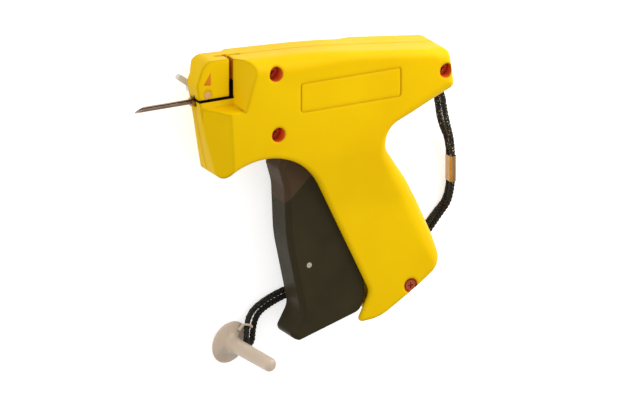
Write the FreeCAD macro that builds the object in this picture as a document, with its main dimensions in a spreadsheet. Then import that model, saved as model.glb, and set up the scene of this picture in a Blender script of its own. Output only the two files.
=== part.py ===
import FreeCAD, Part
import math
import os
import Sketcher
from FreeCAD import Vector

# Garment tag attacher.  Every profile is drawn in gun coordinates: x runs from the needle's tip
# to the rear, y up from the needle's axis, and z from the seam plane to the gun's left.

doc = FreeCAD.newDocument("TagAttacher")

SIZES = {
    # housing in side view: the corners of its outline and the radius that rounds each of them
    "top_front_x": 31.3, "top_front_y": 19.4, "top_front_round": 6.0,
    "top_mid_x": 90.0, "top_mid_y": 16.3, "top_mid_round": 400.0,
    "rear_top_x": 150.3, "rear_top_y": 8.8, "rear_top_round": 5.0,
    "rear_x": 153.1, "rear_low_y": -9.2, "rear_low_round": 3.0,
    "waist_x": 113.0, "waist_y": -25.1, "waist_round": 9.5,
    "back_high_x": 134.2, "back_high_y": -54.3, "back_high_round": 100.0,
    "back_low_x": 145.8, "back_low_y": -80.0, "back_low_round": 30.0,
    "heel_x": 148.2, "heel_y": -92.0, "heel_round": 9.0,
    "sole_x": 115.8, "sole_y": -111.6, "sole_round": 20.0,
    "butt_tip_x": 104.8, "butt_tip_y": -112.2, "butt_tip_round": 1.5,
    "mouth_low_x": 111.2, "mouth_low_y": -98.8, "mouth_low_round": 6.0,
    "arch_x": 70.0, "arch_y": -12.4, "arch_round": 31.5,
    "lobe_x": 35.8, "lobe_y": -35.6, "lobe_round": 2.5,
    "prow_x": 31.6, "prow_y": -16.5, "prow_round": 80.0,
    "nose_x": 27.2, "nose_y": 8.6, "nose_round": 3.0,
    # housing across its thickness
    "head_half": 14.0, "grip_half": 10.9, "taper_start": -30.0, "taper_end": -58.0,
    "taper_round": 60.0, "wall": 2.2, "side_wall": 2.2, "deep_inset": 5.2, "shallow_half": 5.0,
    "head_edge_round": 3.5, "head_front_round": 6.5, "rear_edge_round": 5.5,
    "back_edge_round": 9.5, "front_edge_round": 1.4,
    "prow_front_x": 29.8, "prow_back_x": 39.9, "prow_tilt": 3.0,
    "far_prow_half": 3.3, "far_prow_front_x": 29.6, "far_prow_tilt": 5.0,
    "cavity_front_x": 50.5, "lobe_cavity_x": 46.0,
    "nose_half": 6.0, "recess_x": 45.2, "recess_top_x": 58.4, "recess_low_x": 47.6,
    "ledge_in_y": -2.2, "ledge_out_y": -4.6,
    "mouth_front_x": 67.9, "mouth_top_y": -20.0, "mouth_inset": 6.0, "mouth_end_x": 115.0,
    "toe_room_x": 127.0, "sole_wall": 2.86,
    # nose: filament slit, clip slot and the channel of the fasteners' bars
    "slit_y": 0.7, "slit_height": 1.1, "clip_x": 43.2, "clip_width": 1.8,
    "channel_length": 12.6, "channel_half": 0.7, "channel_y": -0.9,
    # case screws: one well in each corner of the left shell
    "well_radius": 3.3, "well_floor": 7.4, "boss_radius": 4.3, "screw_radius": 1.5,
    "screw_head_radius": 2.9, "screw_head_height": 2.0, "screw_play": 0.15,
    "screw_depth": 8.0, "recess_length": 2.6, "recess_width": 0.6, "recess_depth": 0.9,
    "screw_one_x": 62.2, "screw_one_y": 11.1, "screw_two_x": 63.3, "screw_two_y": -16.9,
    "screw_three_x": 146.9, "screw_three_y": -0.2,
    "grip_screw_x": 131.0, "grip_screw_y": -98.8, "grip_boss_radius": 2.7,
    "grip_screw_radius": 1.2, "grip_head_radius": 2.4, "grip_head_height": 1.1,
    "grip_well_floor": 9.5, "grip_screw_depth": 7.0,
    # framed bare panel on the left side
    "panel_x": 74.2, "panel_y": -8.6, "panel_length": 50.1, "panel_height": 13.8,
    "panel_line": 0.6, "panel_depth": 0.4, "panel_corner": 1.0,
    # trigger
    "pivot_x": 78.0, "pivot_y": -22.0, "trunnion_radius": 3.0, "trunnion_length": 2.6,
    "pivot_boss_radius": 5.0, "running_play": 0.06,
    "trigger_hub_radius": 6.0, "trigger_lip_x": 67.5, "trigger_lip_y": -35.8,
    "trigger_neck_x": 70.1, "trigger_neck_y": -45.0,
    "trigger_mid_x": 71.1, "trigger_mid_y": -69.0, "trigger_hook_x": 78.2,
    "trigger_hook_y": -103.3, "trigger_toe_x": 72.9, "trigger_toe_y": -112.9,
    "trigger_sole_x": 74.6, "trigger_sole_y": -116.9,
    "trigger_heel_x": 106.9, "trigger_heel_y": -107.1, "trigger_half": 8.3, "trigger_toe_round": 3.2,
    "trigger_back_x": 109.3, "trigger_back_y": -99.3, "trigger_rise_x": 107.5,
    "trigger_rise_y": -86.1, "ear_front": 5.6, "ear_back": 6.2, "ear_rise": 3.0,
    "ear_drop": 14.0,
    "trigger_wall": 2.1, "trigger_face": 1.5, "trigger_bevel": 2.0,
    "link_x": 81.5, "link_y": -82.0, "link_radius": 1.25,
    # drive lever: it turns about the fulcrum and throws the slider along the needle's axis
    "fulcrum_x": 95.0, "fulcrum_y": -57.0, "fulcrum_radius": 2.0,
    "lever_low_angle": -118.4, "lever_high_angle": 66.5, "link_near": 21.3,
    "link_far": 28.4, "link_drift": 1.1, "fork_drift": 0.55,
    "lever_rim": 2.2, "link_rim": 1.1, "tip_slant": 3.6, "fork_start": 54.9, "lever_tip": 65.0,
    "lever_half": 2.2, "lever_hub_radius": 5.5, "lever_waist": 7.0, "side_gap": 0.3,
    "post_width": 3.1, "post_reach": 5.2, "post_height": 9.0, "post_web_x": 116.5,
    "post_web_half": 1.5, "corner_wall": 3.0, "corner_wall_start": 6.5,
    "slider_rest_x": 119.8, "slider_front": 13.0, "slider_back": 11.0,
    "slider_half": 6.2, "slider_half_height": 5.5, "slider_gap_front": 8.5,
    "slider_gap_back": 8.0, "slider_pin_radius": 1.5, "slot_play": 0.2,
    "rail_gap": 0.3, "rail_height": 1.6, "rail_start_x": 57.0, "rail_end_x": 134.0,
    "rail_inner": 3.4,
    # ejector rod and its guide
    "rod_radius": 0.55, "rod_tip_x": 50.9, "rod_grip": 3.0, "guide_x": 50.6, "guide_length": 5.6,
    "guide_half": 4.0,
    # needle, its moulded base and the lever that locks it
    "needle_radius": 1.15, "needle_bore": 0.72, "needle_slot": 0.55, "needle_end_x": 39.2,
    "shank_radius": 1.9, "shank_x": 27.0,
    "needle_bevel": 5.5, "tip_flat": 0.4, "base_x": 30.6, "base_half_height": 2.9, "base_half": 2.4,
    "lock_x": 32.5, "lock_y": 4.0, "lock_radius": 1.8, "lock_hub_radius": 3.0,
    "lock_hub_height": 2.6, "lock_arm_length": 8.4, "lock_arm_width": 2.6, "lock_angle": 143.0,
    "lock_flat": 1.1,
    # feed: star wheel, pawl, detent spring and knife
    "wheel_x": 52.4, "wheel_y": -12.2, "wheel_radius": 5.4, "wheel_root": 3.9,
    "wheel_half": 1.5, "wheel_teeth": 12.0, "axle_radius": 1.0, "axle_half": 10.0,
    "axle_boss_radius": 2.6, "axle_boss_gap": 0.4,
    "pawl_x": 66.4, "pawl_y": -9.6, "pawl_radius": 2.4, "pawl_half": 1.2,
    "detent_x": 42.5, "detent_length": 15.0, "detent_half": 1.4, "detent_thick": 0.5,
    "knife_x": 40.5, "knife_half_height": 3.0, "knife_thick": 0.5, "knife_length": 6.0,
    # return spring
    "spring_radius": 2.1, "spring_wire": 0.35, "spring_pitch": 1.15, "spring_lead": 2.65,
    "anchor_inset": 14.6, "anchor_y": -9.4, "anchor_radius": 1.1, "anchor_half": 4.6, "hook_arm": 43.0,
    "hook_out": 0.6, "lug_radius": 2.4, "lug_hole": 1.2,
    # lanyard: doubled cord, its hole and pin in the housing, ferrule, needle cap
    "cord_radius": 1.35, "cord_bend_share": 0.45, "strand_gap": 2.8,
    "exit_x": 144.8, "exit_width": 6.2, "exit_half": 3.4, "exit_height": 14.6,
    "lanyard_pin_x": 147.6, "lanyard_pin_y": -7.4, "lanyard_pin_half": 6.0,
    "ferrule_length": 12.0, "ferrule_wall": 0.4, "ferrule_play": 0.06,
    "cap_disc_radius": 10.0, "cap_disc_thick": 2.2, "cap_stem_radius": 3.2,
    "cap_stem_length": 30.0, "cap_tip_round": 2.2, "cap_bore": 1.6, "cap_bore_depth": 25.0,
    "cap_x": 51.7, "cap_y": -119.0, "cap_z": 3.1, "eyelet_wire": 0.5, "eyelet_along": 4.1,
    "lug_length": 3.0, "cap_lug_radius": 0.8,
    # the middle of the tool, from which the row frame is measured
    "origin_x": 76.1, "origin_y": 48.65,
}


class Size:
    """A number together with the sheet expression that gives it."""

    def __init__(self, value, text):
        self.value = value
        self.text = text

    def joined(self, other, sign, value):
        return Size(value, "({} {} {})".format(self.text, sign, other.text))

    def __add__(self, other):
        other = sized(other)
        return self.joined(other, "+", self.value + other.value)

    def __sub__(self, other):
        other = sized(other)
        return self.joined(other, "-", self.value - other.value)

    def __mul__(self, other):
        other = sized(other)
        return self.joined(other, "*", self.value * other.value)

    def __truediv__(self, other):
        other = sized(other)
        return self.joined(other, "/", self.value / other.value)

    def __neg__(self):
        return Size(-self.value, "(0 - {})".format(self.text))

    __radd__ = __add__
    __rmul__ = __mul__

    def __rsub__(self, other):
        return sized(other) - self


def sized(number):
    if isinstance(number, Size):
        return number
    return Size(float(number), "({!r})".format(float(number)))


def turned(function, name, angle):
    """A trigonometric function of an angle in degrees."""
    return Size(function(math.radians(angle.value)), "{}({} * 1 deg)".format(name, angle.text))


def sine(angle):
    return turned(math.sin, "sin", angle)


def cosine(angle):
    return turned(math.cos, "cos", angle)


def root(size):
    return Size(math.sqrt(size.value), "sqrt({})".format(size.text))


class Sheet:
    """The driving dimensions as a spreadsheet, each read as an attribute."""

    def __init__(self, sizes):
        self.cells = doc.addObject("Spreadsheet::Sheet", "Sizes")
        self.values = sizes
        for row, (name, value) in enumerate(sizes.items(), 1):
            self.cells.set("A{}".format(row), name)
            self.cells.set("B{}".format(row), str(value))
            self.cells.setAlias("B{}".format(row), name)

    def __getattr__(self, name):
        return Size(self.values[name], "Sizes." + name)


s = Sheet(SIZES)
doc.recompute()


def bind(target, name, size):
    """Ties a property to the sheet; a bare number is tied as that number."""
    target.setExpression(name, sized(size).text)


def new_body(label):
    body = doc.addObject("PartDesign::Body", label)
    body.Label = label
    return body


def sketch_on(body, role, offset=0):
    """A sketch on one of the body's origin planes, moved along the plane's normal."""
    sketch = body.newObject("Sketcher::SketchObject", "Sketch")
    plane = [f for f in body.Origin.OriginFeatures if f.Role == role][0]
    sketch.AttachmentSupport = [(plane, "")]
    sketch.MapMode = "FlatFace"
    bind(sketch, "AttachmentOffset.Base.z", offset)
    return sketch


class Rules:
    """Constraints of one sketch, gathered and added together, then bound to the sheet."""

    def __init__(self, sketch):
        self.sketch = sketch
        self.rules = []
        self.bound = []

    def add(self, *rule):
        self.rules.append(Sketcher.Constraint(*rule))

    def measure(self, kind, *rule):
        """A dimension: its last argument is the size that drives it."""
        size = sized(rule[-1])
        self.bound.append((len(self.rules), size))
        self.add(kind, *rule[:-1], size.value)

    def place(self, geometry, point, x, y):
        """Holds a sketch point at x, y from the sketch's origin."""
        self.measure("DistanceX", -1, 1, geometry, point, x)
        self.measure("DistanceY", -1, 1, geometry, point, y)

    def close(self):
        first = len(self.sketch.Constraints)
        self.sketch.addConstraint(self.rules)
        for row, size in self.bound:
            bind(self.sketch, "Constraints[{}]".format(first + row), size)


def add_circle(sketch, x, y, radius):
    x, y, radius = sized(x), sized(y), sized(radius)
    centre = Vector(x.value, y.value, 0)
    circle = sketch.addGeometry(Part.Circle(centre, Vector(0, 0, 1), radius.value), False)
    rules = Rules(sketch)
    rules.place(circle, 3, x, y)
    rules.measure("Radius", circle, radius)
    rules.close()


class Corner:
    """One corner of an outline: where its arc starts, ends and is centred."""

    def __init__(self, before, here, after, radius):
        place, came, goes = [Vector(p[0].value, p[1].value, 0) for p in (here, before, after)]
        back = (came - place).normalize()
        ahead = (goes - place).normalize()
        half = back.getAngle(ahead) / 2
        self.left = back.cross(ahead).z < 0
        self.place = place
        self.start = place + back * (radius / math.tan(half))
        self.end = place + ahead * (radius / math.tan(half))
        self.centre = place + (back + ahead).normalize() * (radius / math.sin(half))

    def arc(self, radius):
        first, last = (self.start, self.end) if self.left else (self.end, self.start)
        angles = [math.atan2(p.y - self.centre.y, p.x - self.centre.x) for p in (first, last)]
        return Part.ArcOfCircle(Part.Circle(self.centre, Vector(0, 0, 1), radius), *angles)


def add_outline(sketch, points):
    """A closed outline of straight runs; a corner (x, y, radius) is rounded, (x, y) is sharp."""
    points = [[sized(number) for number in point] for point in points]
    radii = [point[2].value if len(point) == 3 else 0.0 for point in points]
    corners = [
        Corner(points[i - 1], point, points[(i + 1) % len(points)], radii[i])
        for i, point in enumerate(points)
    ]
    lines = [
        sketch.addGeometry(Part.LineSegment(corners[i - 1].end, corner.start), False)
        for i, corner in enumerate(corners)
    ]
    rules = Rules(sketch)
    for i, (point, corner, radius) in enumerate(zip(points, corners, radii)):
        came, goes = lines[i], lines[(i + 1) % len(lines)]
        if radius == 0:
            rules.add("Coincident", came, 2, goes, 1)
            rules.place(goes, 1, point[0], point[1])
            continue
        arc = sketch.addGeometry(corner.arc(radius), False)
        first, last = (1, 2) if corner.left else (2, 1)
        rules.add("Tangent", came, 2, arc, first)
        rules.add("Tangent", arc, last, goes, 1)
        rules.measure("Radius", arc, point[2])
        sharp = sketch.addGeometry(Part.Point(corner.place), True)
        rules.add("PointOnObject", sharp, 1, came)
        rules.add("PointOnObject", sharp, 1, goes)
        rules.place(sharp, 1, point[0], point[1])
    rules.close()


def pad(body, sketch, length, side="One side", reverse=False):
    feature = body.newObject("PartDesign::Pad", "Pad")
    feature.Profile = sketch
    feature.SideType = side
    feature.Reversed = reverse
    feature.Refine = False
    bind(feature, "Length", length)
    return feature


def pocket(body, sketch, length=None, side="One side", reverse=False):
    """A cut of a given length, or through everything."""
    feature = body.newObject("PartDesign::Pocket", "Pocket")
    feature.Profile = sketch
    feature.SideType = side
    feature.Reversed = reverse
    feature.Refine = False
    if length is None:
        feature.Type = "ThroughAll"
    else:
        bind(feature, "Length", length)
    return feature


def housing_side(sketch):
    """The housing's outline in side view."""
    add_outline(sketch, [
        (s.top_front_x, s.top_front_y, s.top_front_round),
        (s.top_mid_x, s.top_mid_y, s.top_mid_round),
        (s.rear_top_x, s.rear_top_y, s.rear_top_round),
        (s.rear_x, s.rear_low_y, s.rear_low_round),
        (s.waist_x, s.waist_y, s.waist_round),
        (s.back_high_x, s.back_high_y, s.back_high_round),
        (s.back_low_x, s.back_low_y, s.back_low_round),
        (s.heel_x, s.heel_y, s.heel_round),
        (s.sole_x, s.sole_y, s.sole_round),
        (s.butt_tip_x, s.butt_tip_y, s.butt_tip_round),
        (s.mouth_low_x, s.mouth_low_y, s.mouth_low_round),
        (s.arch_x, s.arch_y, s.arch_round),
        (s.lobe_x, s.lobe_y, s.lobe_round),
        (s.prow_x, s.prow_y, s.prow_round),
        (s.nose_x, s.nose_y, s.nose_round),
    ])


def taper(body, head_half, grip_half):
    """Thins a symmetric form from the head's thickness to the grip's, smoothly."""
    beyond = head_half + 5
    for way in (1, -1):
        front = sketch_on(body, "YZ_Plane")
        add_outline(front, [
            (s.taper_start + 40, head_half * way),
            (s.taper_start, head_half * way, s.taper_round),
            (s.taper_end, grip_half * way, s.taper_round),
            (s.butt_tip_y - 20, grip_half * way),
            (s.butt_tip_y - 20, beyond * way),
            (s.taper_start + 40, beyond * way),
        ])
        pocket(body, front, side="Symmetric")


def edge_round(point):
    """Radius of the housing's edge at a point of its outline, from named radii."""
    head, back, front = s.head_edge_round, s.back_edge_round, s.front_edge_round
    heel_start = s.back_low_y.value
    heel_end = s.heel_y.value - s.heel_round.value
    if point.x < s.mouth_low_x.value and point.y < s.taper_start.value:
        return front.value
    if point.y > s.waist_y.value + 3:
        if point.y > s.nose_y.value + 1 and point.x < s.top_mid_x.value:
            return s.head_front_round.value
        if point.x > s.rear_top_x.value - s.rear_top_round.value - 2:
            return s.rear_edge_round.value
        return head.value if point.x > s.recess_x.value else front.value
    if point.x < s.arch_x.value + 20:
        return front.value
    if point.y > s.taper_end.value:
        share = (s.waist_y.value + 3 - point.y) / (s.waist_y.value + 3 - s.taper_end.value)
        return head.value + share * (back.value - head.value)
    if point.y > heel_start:
        return back.value
    share = max(0.0, (point.y - heel_end) / (heel_start - heel_end))
    return front.value + share * (back.value - front.value)


def is_rim(edge):
    """True for the edges between the housing's outline and its two sides."""
    ends = [vertex.Point for vertex in edge.Vertexes]
    if len(ends) < 2 or min(abs(end.z) for end in ends) < s.grip_half.value - 0.5:
        return False
    across = abs(ends[0].y - ends[1].y) < 1e-6
    return ends[0].z * ends[1].z > 0 and not across


def rim_radii(shape, side):
    """The rim of one side as fillet entries (edge, radius at its start, radius at its end)."""
    left = {i: edge for i, edge in enumerate(shape.Edges, 1)
            if is_rim(edge) and edge.CenterOfMass.z * side > 0}
    number = min(left)
    edge = left.pop(number)
    start, end = edge.firstVertex(True).Point, edge.lastVertex(True).Point
    entries = [(number, edge_round(start), edge_round(end))]
    while left:
        for number, edge in left.items():
            ends = sorted((vertex.Point for vertex in edge.Vertexes), key=end.distanceToPoint)
            if end.distanceToPoint(ends[0]) < 1e-4:
                break
        else:
            break
        left.pop(number)
        entries.append((number, edge_round(ends[0]), edge_round(ends[1])))
        end = ends[1]
    return entries


def lean_back(body, x, tilt):
    """Turns a body about the cross line at x on the needle's axis."""
    bind(body, "Placement.Rotation.Axis.z", 1)
    bind(body, "Placement.Rotation.Angle", tilt)
    bind(body, "Placement.Base.x", x * (1 - cosine(tilt)))
    bind(body, "Placement.Base.y", -x * sine(tilt))


def housing_outside():
    """Both shells' outer surface as one closed form."""
    form = new_body("housing_form")
    side = sketch_on(form, "XY_Plane")
    housing_side(side)
    pad(form, side, s.head_half * 2, "Symmetric")
    taper(form, s.head_half, s.grip_half)
    doc.recompute()
    rounded = doc.addObject("Part::Fillet", "rounded_form")
    rounded.Base = form
    rounded.Edges = rim_radii(form.Shape, 1) + rim_radii(form.Shape, -1)
    beyond = s.head_half + 5
    cutters = []
    # the prow, on the left: below the nose's ledge the front narrows in plan, and leans back
    near_prow = new_body("near_prow")
    plan = sketch_on(near_prow, "XZ_Plane")
    slope = (s.prow_back_x - s.prow_front_x) / (s.head_half - s.nose_half)
    add_outline(plan, [
        (s.prow_front_x - 10, s.nose_half),
        (s.prow_front_x, s.nose_half),
        (s.prow_front_x + slope * (beyond - s.nose_half), beyond),
        (s.prow_front_x - 10, beyond),
    ])
    tall = (s.top_front_y - s.lobe_y) * 3
    pad(near_prow, plan, tall, "Symmetric")
    lean_back(near_prow, s.prow_front_x, s.prow_tilt)
    above_ledge = block("above_ledge", s.nose_x - 20, s.ledge_in_y, -beyond * 2, s.rear_x,
                        s.top_front_y * 4, beyond * 4)
    cutters.append(cut("near_prow_cutter", near_prow, above_ledge))
    # on the right the whole front narrows
    far_prow = new_body("far_prow_cutter")
    far_plan = sketch_on(far_prow, "XZ_Plane")
    add_outline(far_plan, [
        (s.far_prow_front_x - 10, -s.far_prow_half),
        (s.far_prow_front_x, -s.far_prow_half),
        (s.far_prow_front_x + beyond - s.far_prow_half, -beyond),
        (s.far_prow_front_x - 10, -beyond),
    ])
    pad(far_prow, far_plan, tall, "Symmetric")
    lean_back(far_prow, s.far_prow_front_x, s.far_prow_tilt)
    cutters.append(far_prow)
    for way in (1, -1):
        # the recess beside the nose, with a sloping rear wall and a ledge below
        recess = new_body("recess_cutter")
        slices = []
        for level, ledge, low, high in (
            (s.nose_half, s.ledge_in_y, s.recess_x, s.recess_x),
            (s.head_half + 1, s.ledge_out_y, s.recess_low_x, s.recess_top_x),
        ):
            level_plan = sketch_on(recess, "XY_Plane", level * way)
            add_outline(level_plan, [
                (s.nose_x - 8, ledge),
                (low, ledge),
                (high, s.top_front_y + 6),
                (s.nose_x - 8, s.top_front_y + 6),
            ])
            slices.append(level_plan)
        loft = recess.newObject("PartDesign::AdditiveLoft", "Loft")
        loft.Profile = slices[0]
        loft.Sections = [slices[1]]
        loft.Ruled = True
        cutters.append(recess)
    outside = doc.addObject("Part::Cut", "housing_outside")
    outside.Base = rounded
    outside.Tool = fuse("housing_cutters", cutters)
    return outside, side


def fuse(name, tools):
    joined = doc.addObject("Part::MultiFuse", name)
    joined.Shapes = tools
    return joined


def block(name, x, y, z, length, width, height):
    """A box with one corner at x, y, z."""
    box = doc.addObject("Part::Box", name)
    for target, size in (("Length", length), ("Width", width), ("Height", height)):
        bind(box, target, size)
    for axis, place in (("x", x), ("y", y), ("z", z)):
        bind(box, "Placement.Base." + axis, place)
    return box


def outline_body(body, points, start, length):
    """Adds an outline extruded along z from start."""
    sketch = sketch_on(body, "XY_Plane", start)
    add_outline(sketch, points)
    return pad(body, sketch, length)


def post(body, x, y, radius, start, length):
    """Adds a round post along z from start."""
    sketch = sketch_on(body, "XY_Plane", start)
    add_circle(sketch, x, y, radius)
    return pad(body, sketch, length)


def through(body, x, y, radius):
    """Drills along z through the whole body."""
    sketch = sketch_on(body, "XY_Plane")
    add_circle(sketch, x, y, radius)
    return pocket(body, sketch, side="Symmetric")


def channel(body, points, half):
    """Cuts an outline out of a body, half to each side of the seam plane."""
    sketch = sketch_on(body, "XY_Plane")
    add_outline(sketch, points)
    return pocket(body, sketch, sized(half) * 2, side="Symmetric")


def rectangle(x, y, length, height):
    return [(x, y), (x + length, y), (x + length, y + height), (x, y + height)]


def sole_y(x, above):
    """Height of the grip's bottom edge at x, moved up by an amount."""
    slope = (s.heel_y - s.sole_y) / (s.heel_x - s.sole_x)
    return s.sole_y + slope * (sized(x) - s.sole_x) + above


def housing_inside(side):
    """The hollow of both shells: thin walls near the seam, thicker beside the rounded edges."""
    cavity = new_body("housing_cavity")
    for inset, half in (
        (s.wall, s.shallow_half),
        (s.deep_inset, s.head_half - s.side_wall),
    ):
        inner = cavity.newObject("PartDesign::SubShapeBinder", "Inset")
        inner.Support = [(side, "")]
        bind(inner, "Offset", -inset)
        pad(cavity, inner, half * 2, "Symmetric")
    taper(cavity, s.head_half - s.side_wall, s.grip_half - s.side_wall)
    solid_front = sketch_on(cavity, "XY_Plane")
    low = s.lobe_y - 10
    add_outline(solid_front, [
        (s.nose_x - 5, s.top_front_y + 5),
        (s.nose_x - 5, low),
        (s.lobe_cavity_x, low),
        (s.lobe_cavity_x, s.channel_y - 3),
        (s.cavity_front_x, s.channel_y - 3),
        (s.cavity_front_x, s.top_front_y + 5),
    ])
    pocket(cavity, solid_front, side="Symmetric")
    # the mouth, where the trigger comes out of the grip and the head
    mouth = sketch_on(cavity, "XY_Plane")
    steep = (s.arch_x - s.mouth_low_x) / (s.arch_y - s.mouth_low_y)
    top_x = s.mouth_low_x + steep * (s.mouth_top_y - s.mouth_low_y) + s.mouth_inset
    add_outline(mouth, [
        (s.mouth_front_x, s.mouth_top_y),
        (top_x, s.mouth_top_y),
        (s.mouth_low_x + s.mouth_inset, s.mouth_low_y),
        (s.toe_room_x, s.mouth_low_y + 3),
        (s.toe_room_x, sole_y(s.toe_room_x, s.sole_wall)),
        (s.mouth_end_x, sole_y(s.mouth_end_x, s.sole_wall)),
        (s.mouth_end_x, s.butt_tip_y - 8),
        (s.mouth_front_x, s.butt_tip_y - 8),
    ])
    pad(cavity, mouth, (s.trigger_half + s.side_gap) * 2, "Symmetric")
    doc.recompute()
    return cavity


ANCHOR_X = s.rear_x - s.anchor_inset
HEAD_SCREWS = (
    (s.screw_one_x, s.screw_one_y),
    (s.screw_two_x, s.screw_two_y),
    (s.screw_three_x, s.screw_three_y),
)


def shell_inner(way):
    """Bosses, rails, posts and seats inside one shell, on the side given by way."""
    body = new_body("left_ribs" if way > 0 else "right_ribs")
    roof = s.head_half
    grip_roof = s.grip_half

    def start_of(start, end):
        return sized(start) if way > 0 else -sized(end)

    def boss(x, y, radius, start, end):
        post(body, x, y, radius, start_of(start, end), end - start)

    def rib(points, start, end):
        outline_body(body, points, start_of(start, end), end - start)

    for x, y in HEAD_SCREWS:
        boss(x, y, s.boss_radius, sized(0), roof)
    boss(s.grip_screw_x, s.grip_screw_y, s.grip_boss_radius, sized(0), grip_roof)
    boss(s.pivot_x, s.pivot_y, s.pivot_boss_radius, s.trigger_half + s.side_gap, roof)
    # rails above and below the slider
    rail = s.slider_half_height + s.rail_gap
    length = s.rail_end_x - s.rail_start_x
    rib(rectangle(s.rail_start_x, rail, length, s.rail_height), s.rail_inner, roof)
    rib(rectangle(s.rail_start_x, -rail - s.rail_height, length, s.rail_height),
        s.slider_half + s.rail_gap, roof)
    # the wall behind the nose's recess, thickened beside the rod guide
    rib(rectangle(s.cavity_front_x - s.side_gap, s.channel_y - s.corner_wall, s.corner_wall,
                  s.top_front_y), s.corner_wall_start, roof)
    # seat of the rod guide
    rib(rectangle(s.guide_x, -s.guide_half, s.guide_length, s.guide_half * 2), s.guide_half, roof)
    # bosses of the feed wheel's axle, the pawl, the spring's anchor and the lanyard's pin
    boss_start = s.wheel_half + s.axle_boss_gap
    boss(s.wheel_x, s.wheel_y, s.axle_boss_radius, boss_start, roof)
    boss(s.pawl_x, s.pawl_y, s.axle_boss_radius, boss_start, roof)
    boss(ANCHOR_X, s.anchor_y, s.axle_boss_radius, s.spring_radius + s.axle_boss_gap, roof)
    boss(s.lanyard_pin_x, s.lanyard_pin_y, s.axle_boss_radius, s.exit_half + s.side_gap, roof)
    # the post that carries the drive lever's fulcrum, inside the trigger's channel
    inner = s.lever_half + s.side_gap
    left = s.fulcrum_x - s.post_reach
    rib(rectangle(left, s.fulcrum_y - s.post_height / 2, s.heel_x - left, s.post_height),
        inner, inner + s.post_width)
    rib(rectangle(s.post_web_x, s.fulcrum_y - s.post_web_half, s.heel_x - s.post_web_x,
                  s.post_web_half * 2),
        inner, grip_roof)
    return body


def both_ways(body, x, y, radius, half):
    post(body, x, y, radius, -half, half * 2)


def slot(body, points, half):
    outline_body(body, points, -half, half * 2)


def shell_holes(label):
    """What is taken out of both shells: pin holes, the nose's seats and the lanyard's exit."""
    body = new_body(label)
    both_ways(body, s.pivot_x, s.pivot_y, s.trunnion_radius + s.running_play,
              s.trigger_half + s.trunnion_length + s.side_gap)
    both_ways(body, s.fulcrum_x, s.fulcrum_y, s.fulcrum_radius,
              s.lever_half + s.side_gap + s.post_width)
    both_ways(body, s.wheel_x, s.wheel_y, s.axle_radius, s.axle_half)
    both_ways(body, s.pawl_x, s.pawl_y, s.axle_radius, s.axle_half)
    both_ways(body, ANCHOR_X, s.anchor_y, s.anchor_radius, s.anchor_half)
    both_ways(body, s.lanyard_pin_x, s.lanyard_pin_y, s.anchor_radius, s.lanyard_pin_half)
    slot(body, rectangle(s.base_x, -s.base_half_height, s.needle_end_x - s.base_x,
                         s.base_half_height * 2), s.base_half)
    notch = s.shank_radius + s.side_gap
    slot(body, rectangle(s.nose_x - 2, -notch, s.base_x - s.nose_x + 3, notch * 2), notch)
    slot(body, rectangle(s.needle_end_x - 0.5, s.channel_y, s.channel_length,
                         s.top_front_y * 2), s.channel_half)
    both_ways(body, s.lock_x, s.lock_y, s.lock_radius + s.running_play, s.head_half)
    slot(body, detent_outline(), s.detent_half)
    slot(body, rectangle(s.exit_x, s.rear_low_y - 12, s.exit_width,
                         s.exit_height), s.exit_half)
    return body


def detent_outline():
    return rectangle(s.detent_x, s.wheel_y - s.wheel_radius - s.side_gap - s.detent_thick,
                     s.detent_length, s.detent_thick)


def knife_outline():
    return rectangle(s.knife_x, -s.knife_half_height, s.knife_length, s.knife_half_height * 2)


def cut(name, base, tool):
    result = doc.addObject("Part::Cut", name)
    result.Base = base
    result.Tool = tool
    return result


def common(name, shapes):
    result = doc.addObject("Part::MultiCommon", name)
    result.Shapes = shapes
    return result


def half_space(name, above):
    """Everything on one side of the seam plane."""
    start = sized(0) if above else -(s.head_half + 10)
    return block(name, s.nose_x - 20, s.butt_tip_y - 20, start, s.rear_x + 40,
                 s.top_front_y - s.butt_tip_y + 40, s.head_half + 10)


def left_shell(outside, cavity):
    above = half_space("above_seam", True)
    nose_room = block("nose_room", s.nose_x - 10, s.slit_y, sized(-1),
                      s.clip_x + s.clip_width - s.nose_x + 10, s.top_front_y + 10,
                      s.head_half + 12)
    half = cut("left_half", common("left_form", [outside, above]), nose_room)
    room = cut("left_room", common("left_cavity", [cavity, above]), shell_inner(1))
    hollow = cut("left_hollow", half, room)
    holes = shell_holes("left_holes")
    far = s.head_half * 2
    for x, y in HEAD_SCREWS:
        post(holes, x, y, s.well_radius, s.well_floor, far)
        post(holes, x, y, s.screw_radius + s.screw_play, sized(-1), far)
    post(holes, s.grip_screw_x, s.grip_screw_y, s.well_radius, s.grip_well_floor, far)
    post(holes, s.grip_screw_x, s.grip_screw_y, s.grip_screw_radius + s.screw_play,
         sized(-1), far)
    # the framed panel: a thin engraved line around a bare field
    line = sketch_on(holes, "XY_Plane", s.head_half - s.panel_depth)
    for inset in (sized(0), s.panel_line):
        x, y = s.panel_x + inset, s.panel_y + inset
        right, top = x + s.panel_length - inset * 2, y + s.panel_height - inset * 2
        corner = s.panel_corner + s.panel_line - inset
        add_outline(line, [(x, y, corner), (right, y, corner), (right, top, corner),
                           (x, top, corner)])
    pad(holes, line, s.panel_depth + 1)
    return cut("left_shell", hollow, holes)


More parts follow.
